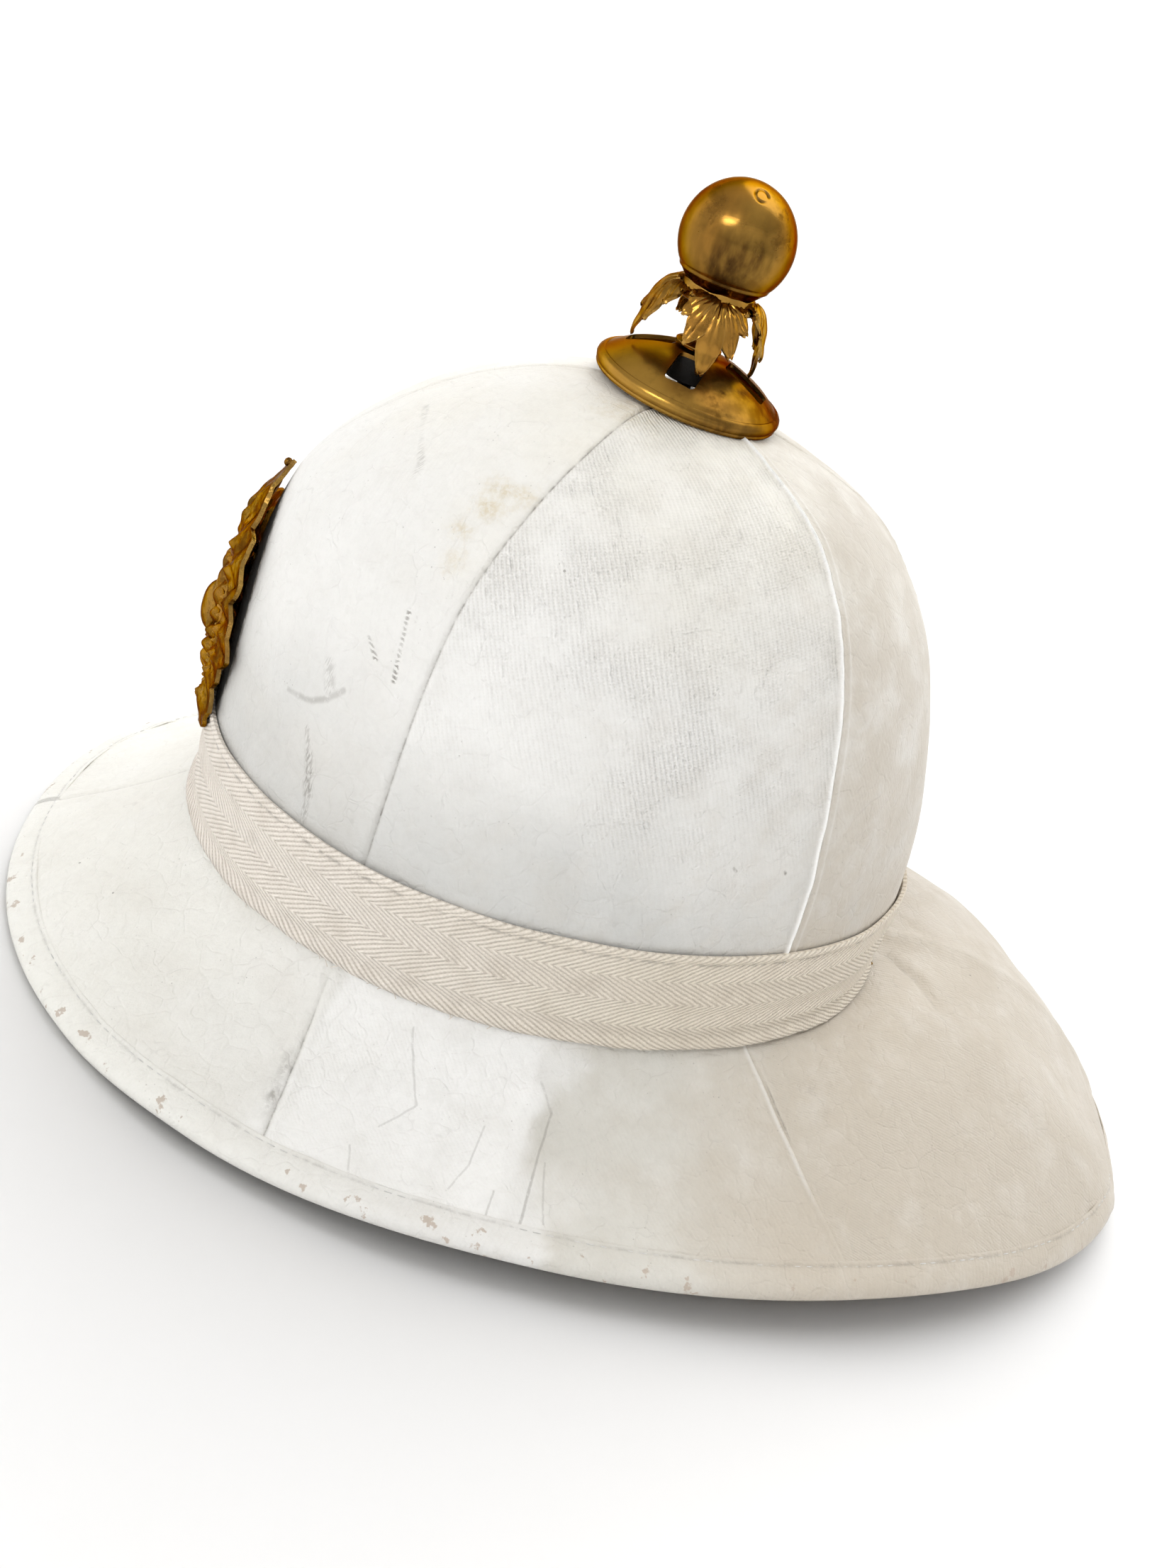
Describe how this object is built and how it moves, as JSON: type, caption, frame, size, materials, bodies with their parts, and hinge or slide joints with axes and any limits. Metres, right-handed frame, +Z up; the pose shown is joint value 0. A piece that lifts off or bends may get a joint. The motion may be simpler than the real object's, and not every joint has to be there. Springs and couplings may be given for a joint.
{
  "type": "pith helmet",
  "caption": "White cloth-covered sun helmet with a gored crown, a drooping brim, a tape band, a brass ball finial on a slotted vent dome and a plain rayed front plate.",
  "frame": {"origin": "on the surface the helmet rests on, below the middle of its length and width", "axes": "+Z up, the helmet's front towards -Y, the wearer's left side towards +X"},
  "size_m": [0.281, 0.3707, 0.2442],
  "materials": {
    "pith": "pressed pith, matt",
    "white_cloth": "whitened twill, matt",
    "tape_cloth": "herringbone tape, matt",
    "brass": "old polished brass with brown tarnish"
  },
  "bodies": {
    "root": {"pith_dome": "pith", "pith_wall": "pith", "pith_brim": "pith", "crown_panel_1": "white_cloth", "crown_panel_2": "white_cloth", "crown_panel_3": "white_cloth", "crown_panel_4": "white_cloth", "crown_panel_5": "white_cloth", "crown_panel_6": "white_cloth", "brim_panel_1": "white_cloth", "brim_panel_2": "white_cloth", "brim_panel_3": "white_cloth", "brim_panel_4": "white_cloth", "brim_panel_5": "white_cloth", "brim_panel_6": "white_cloth", "hat_band": "tape_cloth", "rim_binding": "white_cloth", "vent_dome": "brass", "leaf_cup": "brass", "finial_ball": "brass", "finial_screw": "brass", "front_plate": "brass"}
  },
  "joints": []
}
